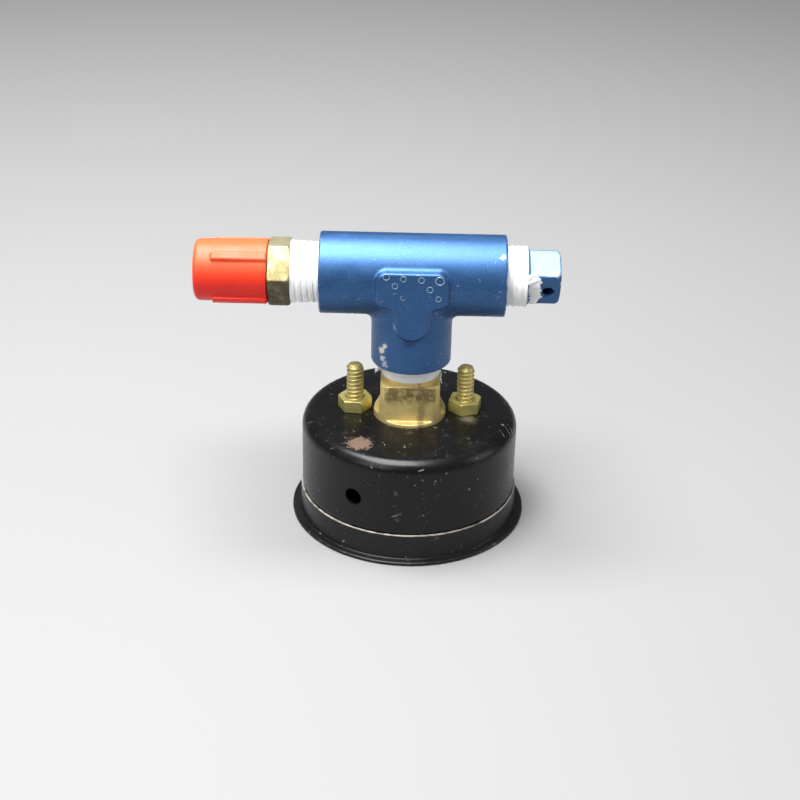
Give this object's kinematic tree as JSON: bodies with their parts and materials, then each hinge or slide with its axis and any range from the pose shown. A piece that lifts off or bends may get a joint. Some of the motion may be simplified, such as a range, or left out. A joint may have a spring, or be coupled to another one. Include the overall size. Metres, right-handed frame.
{
  "type": "pressure gauge",
  "caption": "Back-connected panel pressure gauge lying face down, with a pipe tee on its stem, a capped flare fitting and a square-head plug.",
  "frame": {"origin": "centre of the front face of the bezel, on the gauge axis", "axes": "+Z along the gauge axis from the bezel to the stem and tee; +X along the run of the tee, from the capped fitting to the plug; +Y completes the frame and is 12 o'clock on the dial"},
  "size_m": [0.0849, 0.0574, 0.0722],
  "materials": {
    "case_enamel": "satin black enamel, scuffed",
    "bezel_enamel": "satin black enamel",
    "lens_glass": "clear",
    "gasket_rubber": "matt",
    "spacer_paint": "matt black",
    "dial_face": "matt, printed scale",
    "pointer_paint": "matt orange",
    "movement_brass": "satin",
    "bright_steel": "polished",
    "spring_bronze": "bright",
    "tube_bronze": "satin",
    "stem_brass": "worn, stained",
    "stud_brass": "dull",
    "nut_brass": "dull",
    "thread_tape": "matt white",
    "blue_anodise": "blue anodised, blasted, scuffed",
    "blue_anodise_plug": "blue anodised",
    "yellow_plate": "yellow passivated plating",
    "red_plastic": "satin moulded"
  },
  "bodies": {
    "gauge": {"case": "case_enamel", "bezel": "bezel_enamel", "lens": "lens_glass", "lens_gasket": "gasket_rubber", "spacer_ring": "spacer_paint", "dial": "dial_face", "dial_screws": "movement_brass", "pointer_stop": "bright_steel", "hairspring": "spring_bronze", "spring_stud": "movement_brass", "front_plate": "movement_brass", "back_plate": "movement_brass", "movement_pillars": "movement_brass", "movement_screws": "bright_steel", "bourdon_tube": "tube_bronze", "socket": "stem_brass", "restrictor": "movement_brass", "mounting_studs": "stud_brass", "stud_nuts": "nut_brass", "stem_tape": "thread_tape", "pipe_tee": "blue_anodise", "fitting_tape": "thread_tape", "flare_fitting": "yellow_plate", "plug_tape": "thread_tape", "pipe_plug": "blue_anodise_plug"},
    "sector": {"sector_gear": "movement_brass", "sector_arbor": "bright_steel", "sector_link_pin": "bright_steel"},
    "pointer_staff": {"pinion_staff": "movement_brass", "pointer": "pointer_paint", "pointer_hub": "movement_brass", "hairspring_collet": "movement_brass"},
    "tube_end": {"tube_tip": "movement_brass", "tip_link_pin": "bright_steel"},
    "link": {"link": "movement_brass"},
    "cap": {"dust_cap": "red_plastic"}
  },
  "joints": [
    {"name": "sector_swing", "type": "hinge", "parent": "gauge", "child": "sector", "pos_m": [-0.00951, -0.00887, 0.0112], "axis": [0, 0, 1], "range_deg": [-22.5, 0]},
    {"name": "pointer_turn", "type": "hinge", "parent": "gauge", "child": "pointer_staff", "pos_m": [0, 0, 0.0112], "axis": [0, 0, 1], "range_deg": [0, 270], "deforming": ["hairspring"]},
    {"name": "tube_flex", "type": "hinge", "parent": "gauge", "child": "tube_end", "pos_m": [0.00297, 0.00547, 0.0189], "axis": [0, 0, 1], "range_deg": [-5.32, 0], "deforming": ["bourdon_tube"]},
    {"name": "link_turn", "type": "hinge", "parent": "tube_end", "child": "link", "pos_m": [-0.01891, -0.00651, 0.0119], "axis": [0, 0, 1], "range_deg": [0, 4.86]},
    {"name": "cap_pull", "type": "slide", "parent": "gauge", "child": "cap", "axis": [-1, 0, 0], "range_m": [0, 0.018]}
  ],
  "couplings": [
    {"joint": "pointer_turn", "follows": "sector_swing", "ratio": -12},
    {"joint": "tube_flex", "follows": "sector_swing", "ratio": 0.23653},
    {"joint": "link_turn", "follows": "sector_swing", "ratio": -0.21611}
  ]
}
